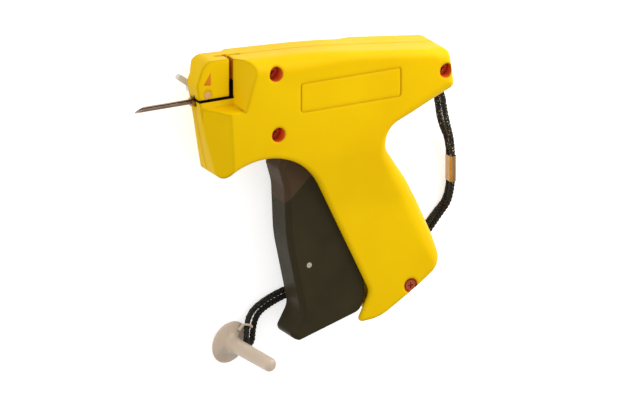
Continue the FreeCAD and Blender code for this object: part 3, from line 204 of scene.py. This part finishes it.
def painted_well_shade(tree, place):
    """A mask over the walls of the four screw wells, where shade is painted."""
    flat = add_node(tree, "ShaderNodeVectorMath", {"operation": "MULTIPLY", 1: (1, 1, 0)},
                    n0=place)
    axes = add_node(tree, "ShaderNodeSeparateXYZ", n0=place)
    mask = None
    for centre in WELL_CENTRES:
        far = add_node(tree, "ShaderNodeVectorMath", {"operation": "DISTANCE", 1: centre},
                       n0=flat)
        near = add_node(tree, "ShaderNodeMath", {"operation": "LESS_THAN", 1: WELL_RADIUS},
                        n0=far.outputs["Value"])
        mask = near if mask is None else add_node(
            tree, "ShaderNodeMath", {"operation": "MAXIMUM"}, n0=mask, n1=near)
    high = add_node(tree, "ShaderNodeMath", {"operation": "GREATER_THAN", 1: WELL_BOTTOM},
                    n0=axes.outputs["Z"])
    return add_node(tree, "ShaderNodeMath", {"operation": "MULTIPLY"}, n0=mask, n1=high)


def in_box(low, high):
    """A mask over what lies between two places given in millimetres."""
    return lambda tree, place: inside(tree, place, spot(*low), spot(*high))


FACET_START = spot(72.1, -50.5, 0)     # a place on the slanting line
FACET_WAY = (-0.69, 0.724, 0)          # square to the line, up and forward
FACET_BLEND = 0.5 * MM


def painted_facet_light(tree, place):
    """A mask over the trigger's top, where a lighter tone paints the light on a shallow step in its
    side.
    """
    offset = add_node(tree, "ShaderNodeVectorMath", {"operation": "SUBTRACT", 1: FACET_START},
                      n0=place)
    above = add_node(tree, "ShaderNodeVectorMath", {"operation": "DOT_PRODUCT", 1: FACET_WAY},
                     n0=offset)
    return add_node(tree, "ShaderNodeMapRange",
                    {"From Min": 0.0, "From Max": FACET_BLEND, "To Min": 0.0, "To Max": 1.0},
                    Value=above.outputs["Value"])


# painted shade in the narrow gaps and on the screw wells' walls: corners of a box in millimetres,
# and the colour in it
SHADED_GAPS = (
    # painted shade: dark in the slit, the clip slot's lower part and the gap beside the needle,
    # lighter in the slot's upper part
    (in_box((27.0, 0.55, 12.8), (45.3, 1.95, 20.2)), "2E1A04"),     # filament slit
    (in_box((43.0, 1.9, 12.8), (45.1, 9.0, 20.4)), "2E1A04"),       # clip slot, its lower part
    (in_box((43.0, 9.0, 12.8), (45.1, 20.0, 20.4)), "C87C00"),      # clip slot, its upper part
    (in_box((27.0, -1.9, 15.1), (29.4, 3.4, 16.2)), "3A2206"),      # gap beside the needle
    # painted shade and reflection of the red screws on the screw wells' walls
    (painted_well_shade, "F0702A"),                                           # walls of the screw wells
)


# injection-moulded ABS: satin over a fine spark-eroded grain, with painted shade in its narrow gaps
# and screw wells, with reflections kept fainter than a real plastic's so that its colour stays pure
# in strong light
YELLOW = moulded("abs_yellow_moulded", "F5C401", "FBCE03", 30, (0.34, 0.44), 2.2,
                 tints=SHADED_GAPS, **{"IOR": 1.53, "Specular IOR Level": 0.05})
# glass-filled nylon: dark brown-black, soft and nearly matt, its reflections kept faint too, with
# painted light over its top
DARK = moulded("nylon_dark_textured", "35301F", "3D3624", 14, (0.30, 0.42), 1.2, grain=0.2,
               tints=((painted_facet_light, "503F2E"),), **{"IOR": 1.53, "Specular IOR Level": 0.05})
# acetal: white, waxy and slightly see-through at its edges
WHITE_ACETAL = moulded("acetal_white", "D8D8D0", "E6E6DF", 5, (0.30, 0.40), 0.3,
                       **{"IOR": 1.48, "Subsurface Weight": 0.1, "Subsurface Scale": 0.003})
# a painted reflection of the orange seat on the lock's shaft, where its end shows on the left
LOCK_WHITE = moulded("acetal_lock", "E6E4DA", "F0EEE6", 5, (0.28, 0.36), 0.5,
                     tints=((in_box((28.0, 0.0, 19.0), (38.0, 8.0, 21.0)), "E9AE5C"),),
                     **{"IOR": 1.48, "Subsurface Weight": 0.1, "Subsurface Scale": 0.003})
# nylon: orange, satin
ORANGE = moulded("nylon_orange", "DB7A06", "EC8C0A", 5, (0.32, 0.42), 0.3,
                 **{"IOR": 1.53, "Specular IOR Level": 0.3})
# soft vinyl: pinkish beige and milky, light gets in and makes the edges glow
VINYL = moulded("vinyl_milky_soft", "D6C3AC", "DECDB8", 20, (0.26, 0.36), 0.8, grain=0.05,
                **{"IOR": 1.5, "Subsurface Weight": 0.35, "Subsurface Scale": 0.003})
# drawn steel: bright, with soft lines along its length
STEEL = metal("steel_drawn", "B4B2AE", "CFCDC8", (0.18, 0.32), (1, 1, 0.1))
# ground pin ends: dull and slightly yellow from handling
PIN_STEEL = metal("steel_pin_dull", "CFC8B4", "DED8C6", (0.45, 0.6))
# ground steel tube: mirrors its surroundings in long warm streaks
NEEDLE_STEEL = metal("steel_ground", "8A6F5A", "B39C86", (0.2, 0.34), (0.08, 1, 1))
# spring wire: greyer and duller than the pins
SPRING_STEEL = metal("steel_spring", "8C8A86", "A8A6A2", (0.25, 0.4))
# plated screws: reddish, dull, dark in their deep wells
SCREW_STEEL = metal("steel_plated_dark", "B8502E", "DE7E5E", (0.4, 0.55))
# crimped brass sheet: golden on one flat, pinkish on the next
BRASS = metal("brass_crimped", "B08A58", "C8A880", (0.24, 0.4), (1, 0.15, 1))


FLECK_SIZE = 0.8                       # slow changes in the black
SPECK_SPACING, SPECK_PART = 1.5, 0.24  # of pale specks, and the part of it that each fills
FILAMENT = 0.15                        # drawn coarser than a real filament, to show
FILAMENT_DEPTH = 0.05 * MM
SPECKED_LOW, SPECKED_HIGH = (144.0, -62.0, 0.0), (170.0, 0.0, 20.0)  # the stretch with pale specks


def polyester_braid():
    """Black polyester yarn: fine filaments, with pale specks along one stretch."""
    material, tree, place = new_material("polyester_braid_black")
    fleck = add_node(tree, "ShaderNodeTexNoise", {"Scale": 1 / (FLECK_SIZE * MM), "Detail": 3.0},
                     Vector=place)
    colour = add_node(tree, "ShaderNodeValToRGB", Fac=fleck,
                      stops=((0.35, "14110B"), (0.62, "2A2519"), (0.74, "5A523F")))
    dot = add_node(tree, "ShaderNodeTexVoronoi", {"Scale": 1 / (SPECK_SPACING * MM)},
                   Vector=place)
    bright = add_node(tree, "ShaderNodeMath", {"operation": "LESS_THAN", 1: SPECK_PART}, n0=dot)
    specked = add_node(tree, "ShaderNodeMath", {"operation": "MULTIPLY"}, n0=bright,
                    n1=in_box(SPECKED_LOW, SPECKED_HIGH)(tree, place))
    colour = add_node(tree, "ShaderNodeMix", {"data_type": "RGBA", 7: linear("B0A892")},
                      n0=specked, n6=colour).outputs[2]
    filament = add_node(tree, "ShaderNodeTexNoise", {"Scale": 1 / (FILAMENT * MM)}, Vector=place)
    bump = add_node(tree, "ShaderNodeBump", {"Strength": 0.5, "Distance": FILAMENT_DEPTH},
                    Height=filament)
    shader = add_node(tree, "ShaderNodeBsdfPrincipled",
                      {"Roughness": 0.62, "Specular IOR Level": 0.3, "Sheen Weight": 0.15,
                       "Sheen Roughness": 0.4}, Base_Color=colour, Normal=bump)
    add_node(tree, "ShaderNodeOutputMaterial", Surface=shader)
    return material


BRAID = polyester_braid()

NODE_MATERIALS = {
    "left_shell": YELLOW, "right_shell": YELLOW, "trigger": DARK, "link_pin": PIN_STEEL,
    "head_screw_1": SCREW_STEEL, "head_screw_2": SCREW_STEEL, "head_screw_3": SCREW_STEEL,
    "grip_screw": SCREW_STEEL, "drive_lever": WHITE_ACETAL, "fulcrum_pin": STEEL,
    "slider": WHITE_ACETAL, "slider_pin": STEEL, "ejector_rod": STEEL,
    "rod_guide": WHITE_ACETAL, "needle": NEEDLE_STEEL, "needle_base": ORANGE,
    "lock_lever": LOCK_WHITE, "feed_wheel": WHITE_ACETAL, "wheel_axle": STEEL,
    "feed_pawl": WHITE_ACETAL, "pawl_pin": STEEL, "detent_leaf": STEEL, "knife": STEEL,
    "return_spring": SPRING_STEEL, "spring_anchor": STEEL, "lanyard_pin": STEEL,
    "lanyard_cord": BRAID, "ferrule": BRASS, "needle_cap": VINYL,
}
for name, material in NODE_MATERIALS.items():
    slots = nodes[name].data.materials
    for row in range(len(slots)):
        slots[row] = material


# ---------------------------------------------------------------- helpers for new pieces


def add_piece(name, mesh, material):
    """A new piece of one material, at the origin, which rides on the housing."""
    piece = bpy.data.objects.new(name, mesh)
    bpy.context.scene.collection.objects.link(piece)
    mesh.materials.clear()
    mesh.materials.append(material)
    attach(piece, "housing")
    return piece


def smooth(mesh):
    """Smooth shading on every face."""
    for face in mesh.polygons:
        face.use_smooth = True


def from_bmesh(name, bm):
    """A flat-shaded mesh with the shape of a bmesh, which it frees."""
    mesh = bpy.data.meshes.new(name)
    bm.normal_update()
    bm.to_mesh(mesh)
    bm.free()
    return mesh


# ---------------------------------------------------------------- lanyard cord

# the two runs of the cord, in millimetres: from the pin to the cap's eyelet, and back
CORD_OUT = (
    (148.7, -9.4, 15.3), (151.9, -15.5, 15.0), (154.0, -22.7, 12.8), (157.6, -32.0, 9.2),
    (162.76, -44.0, 4.75), (162.76, -68.5, 4.75), (157.3, -77.7, 1.7), (147.9, -89.5, 1.4),
    (126.3, -96.1, 1.4), (101.1, -98.7, 1.4), (84.0, -101.3, 1.4), (72.6, -104.9, 1.4),
    (65.9, -109.0, 1.5), (63.6, -115.4, 2.6), (62.6, -120.6, 3.9),
)
CORD_BACK = (
    (58.2, -120.9, 6.9), (57.9, -115.4, 7.2), (61.6, -107.6, 2.2), (70.8, -102.3, 1.4),
    (83.1, -98.5, 1.4), (100.8, -95.9, 1.4), (125.6, -93.3, 1.4), (146.1, -87.0, 1.4),
    (154.8, -76.4, 1.6), (162.76, -68.5, 1.95), (162.76, -44.0, 1.95), (156.6, -32.8, 4.9),
    (152.8, -23.4, 9.4), (150.3, -15.6, 12.4), (146.5, -9.4, 12.6),
)
CORD_DIAMETER = 2.7 * MM
LINE_STEPS = 24                # between two neighbouring points
YARN_STEP = 0.55 * MM
YARN_RADIUS = 0.40 * MM
YARN_COUNT = 4                 # yarns that wind each way
YARN_PITCH = 7.0 * MM
YARN_WEAVE = 0.13 * MM         # how far a yarn goes in and out as it crosses others
CORE_RADIUS = 0.85 * MM        # the straight yarns inside, which close the braid's gaps


def cord_line():
    """The cord's own line, as closely spaced points of its NURBS spline."""
    curve = bpy.data.curves.new("cord_line", "CURVE")
    curve.dimensions = "3D"
    curve.resolution_u = LINE_STEPS
    spline = curve.splines.new("NURBS")
    points = [spot(*p) for p in CORD_OUT + CORD_BACK]
    spline.points.add(len(points) - 1)
    for control, point in zip(spline.points, points):
        control.co = (*point, 1)
    spline.order_u = 3
    spline.use_endpoint_u = True
    holder = bpy.data.objects.new("cord_line", curve)
    mesh = bpy.data.meshes.new_from_object(holder)
    line = [vertex.co.copy() for vertex in mesh.vertices]
    bpy.data.objects.remove(holder)
    bpy.data.meshes.remove(mesh)
    return line


def even_points(line, step):
    """Points along a line at an even spacing, with the distance of each from its start."""
    spaced = [(line[0], 0.0)]
    gone = 0.0
    wanted = step
    for start, end in zip(line, line[1:]):
        length = (end - start).length
        while length and gone + length >= wanted:
            spaced.append((start.lerp(end, (wanted - gone) / length), wanted))
            wanted += step
        gone += length
    return spaced


def frames_along(points):
    """A smooth, untwisted pair of side directions at each point."""
    side = None
    frames = []
    for i, point in enumerate(points):
        ahead = (points[min(i + 1, len(points) - 1)] - points[max(i - 1, 0)]).normalized()
        if side is None:
            side = ahead.orthogonal().normalized()
        side = (side - ahead * side.dot(ahead)).normalized()
        frames.append((side, ahead.cross(side)))
    return frames


def braided_cord(name, line, step):
    """A core with yarns that wind both ways round it, passing over and under each other."""
    spaced = even_points(line, step)
    points = [point for point, gone in spaced]
    frames = frames_along(points)
    curve = bpy.data.curves.new(name, "CURVE")
    curve.dimensions = "3D"
    curve.bevel_depth = YARN_RADIUS
    curve.bevel_resolution = 1
    curve.use_fill_caps = True
    middle = CORD_DIAMETER / 2 - YARN_RADIUS
    core = curve.splines.new("POLY")
    core.points.add(len(points) - 1)
    for control, point in zip(core.points, points):
        control.co = (*point, 1)
        control.radius = CORE_RADIUS / YARN_RADIUS
    for way in (1, -1):
        for yarn in range(YARN_COUNT):
            spline = curve.splines.new("POLY")
            spline.points.add(len(points) - 1)
            start = math.tau * yarn / YARN_COUNT
            for control, (point, gone), (side, across) in zip(spline.points, spaced, frames):
                turn = start + way * math.tau * gone / YARN_PITCH
                wave = math.cos(YARN_COUNT * math.tau * gone / YARN_PITCH + math.pi * yarn)
                reach = middle + way * YARN_WEAVE * wave
                offset = (side * math.cos(turn) + across * math.sin(turn)) * reach
                control.co = (*(point + offset), 1)
    holder = bpy.data.objects.new(name, curve)
    mesh = bpy.data.meshes.new_from_object(holder)
    bpy.data.objects.remove(holder)
    smooth(mesh)
    return mesh, points


cord_mesh, cord_points = braided_cord("lanyard", cord_line(), YARN_STEP)
lanyard = add_piece("lanyard", cord_mesh, BRAID)
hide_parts("lanyard_cord")

# ---------------------------------------------------------------- small pieces

FERRULE_MIDDLE = (162.76, -55.1, 3.35)
FERRULE_LENGTH = 12.0 * MM
FERRULE_OUTER = 1.81 * MM       # radius round each strand, outside the sheet
STRAND_SHIFT = 1.4 * MM         # of each strand above or below the ferrule's middle
SHEET = 0.4 * MM
FERRULE_SIDES = 8
FOLD_ROUND = 0.12 * MM
RIDGE_ANGLE = math.radians(118)     # the fold that the crimping jaws leave faces up and forward


def crimped_ferrule():
    """Sheet brass folded round both strands: flat sides that meet in folds."""
    bm = bmesh.new()
    bmesh.ops.create_circle(bm, cap_ends=True, segments=FERRULE_SIDES, radius=FERRULE_OUTER)
    turn = Matrix.Rotation(RIDGE_ANGLE, 3, "Z")
    bmesh.ops.rotate(bm, matrix=turn, verts=bm.verts)
    for vertex in bm.verts:
        vertex.co.y += math.copysign(STRAND_SHIFT, vertex.co.y)
    tube = bmesh.ops.extrude_face_region(bm, geom=bm.faces[:])
    raised = [item for item in tube["geom"] if isinstance(item, bmesh.types.BMVert)]
    bmesh.ops.translate(bm, vec=(0, 0, FERRULE_LENGTH), verts=raised)
    ends = [face for face in bm.faces if len(face.verts) == FERRULE_SIDES]
    bmesh.ops.inset_individual(bm, faces=ends, thickness=SHEET, depth=-SHEET)
    folds = [edge for edge in bm.edges if len(edge.link_faces) == 2]
    bmesh.ops.bevel(bm, geom=folds, offset=FOLD_ROUND, segments=2, profile=0.5,
                    affect="EDGES", material=-1)
    bmesh.ops.recalc_face_normals(bm, faces=bm.faces)
    middle = Matrix.Translation(spot(*FERRULE_MIDDLE))
    lay = Matrix.Rotation(math.pi / 2, 4, "X") @ Matrix.Translation((0, 0, -FERRULE_LENGTH / 2))
    bmesh.ops.transform(bm, matrix=middle @ lay, verts=bm.verts)
    return from_bmesh("ferrule_crimped", bm)


MARK_CORNERS = ((34.0, 13.8), (30.7, 8.7), (34.1, 8.2))
MARK_LEVEL = 19.9               # just under the nose's left face
MARK_HEIGHT = 0.2 * MM


def nose_mark():
    """A small arrowhead let into the nose, which points along the needle's lock."""
    bm = bmesh.new()
    corners = [bm.verts.new(spot(x, y, MARK_LEVEL)) for x, y in MARK_CORNERS]
    face = bm.faces.new(corners)
    grown = bmesh.ops.extrude_face_region(bm, geom=[face])
    raised = [item for item in grown["geom"] if isinstance(item, bmesh.types.BMVert)]
    bmesh.ops.translate(bm, vec=(0, 0, MARK_HEIGHT), verts=raised)
    bmesh.ops.recalc_face_normals(bm, faces=bm.faces)
    return from_bmesh("nose_mark", bm)


ferrule = add_piece("ferrule_crimped", crimped_ferrule(), BRASS)
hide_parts("ferrule")
mark = add_piece("nose_mark", nose_mark(), ORANGE)


# ---------------------------------------------------------------- stage and lights


FLOOR_REACH = 3.0
PAPER_CLOUD = 40
FLOOR_GLOW = 0.62              # brings the paper to white where the camera sees it


def make_stage():
    """A sheet of white paper under the tool, which keeps the tool's shadow."""
    bm = bmesh.new()
    bmesh.ops.create_grid(bm, x_segments=1, y_segments=1, size=FLOOR_REACH)
    mesh = from_bmesh("floor", bm)
    floor = bpy.data.objects.new("floor", mesh)
    bpy.context.scene.collection.objects.link(floor)
    material, tree, place = new_material("paper_white_backdrop")
    fibre = add_node(tree, "ShaderNodeTexNoise", {"Scale": 1 / (PAPER_CLOUD * MM)},
                     Vector=place)
    white = add_node(tree, "ShaderNodeValToRGB", stops=((0.0, "F2F2F2"), (1.0, "F4F4F4")),
                     Fac=fibre)
    paper = add_node(tree, "ShaderNodeBsdfDiffuse", Color=white)
    glow = add_node(tree, "ShaderNodeEmission", {"Strength": FLOOR_GLOW})
    lit = add_node(tree, "ShaderNodeAddShader", n0=paper, n1=glow)
    path = add_node(tree, "ShaderNodeLightPath")
    seen = add_node(tree, "ShaderNodeMath", {"operation": "MAXIMUM"},
                    n0=path.outputs["Is Camera Ray"], n1=path.outputs["Is Glossy Ray"])
    shown = add_node(tree, "ShaderNodeMixShader", n0=seen, n1=paper, n2=lit)
    add_node(tree, "ShaderNodeOutputMaterial", Surface=shown)
    mesh.materials.append(material)


ROOM_LIGHT = 0.5               # the white room's light on the tool
# of each lamp: its name, the way to it, its distance and size in metres, its power in watts
LAMPS = (
    ("key", Vector((0.70, 0.54, 0.44)), 0.52, 0.4, 2.2),
    ("fill", CAM_BACK - CAM_RIGHT * 0.9, 1.1, 0.9, 3.6),
)


def make_lights():
    """A white room, a key lamp above the rear of the head and a fill from the front left."""
    world = bpy.data.worlds.new("studio")
    world.use_nodes = True
    bpy.context.scene.world = world
    tree = world.node_tree
    tree.nodes.clear()
    path = add_node(tree, "ShaderNodeLightPath")
    seen = add_node(tree, "ShaderNodeMath", {"operation": "MAXIMUM"},
                    n0=path.outputs["Is Camera Ray"], n1=path.outputs["Is Transmission Ray"])
    dim = add_node(tree, "ShaderNodeBackground", {"Strength": ROOM_LIGHT})
    bright = add_node(tree, "ShaderNodeBackground", {"Strength": 1.0})
    for background in (dim, bright):
        background.inputs["Color"].default_value = (1, 1, 1, 1)
    mixed = add_node(tree, "ShaderNodeMixShader", n0=seen.outputs[0], n1=dim.outputs[0],
                     n2=bright.outputs[0])
    add_node(tree, "ShaderNodeOutputWorld", Surface=mixed.outputs[0])
    target = spot(76, -48, SEAM_HEIGHT)
    for name, way, reach, size, power in LAMPS:
        data = bpy.data.lights.new(name, "AREA")
        data.size = size
        data.energy = power
        lamp = bpy.data.objects.new(name, data)
        way = way.normalized()
        lamp.location = target + way * reach
        lamp.rotation_mode = "QUATERNION"
        lamp.rotation_quaternion = way.to_track_quat("Z", "Y")
        bpy.context.scene.collection.objects.link(lamp)


make_stage()
make_lights()
bpy.context.scene.view_settings.view_transform = "Standard"
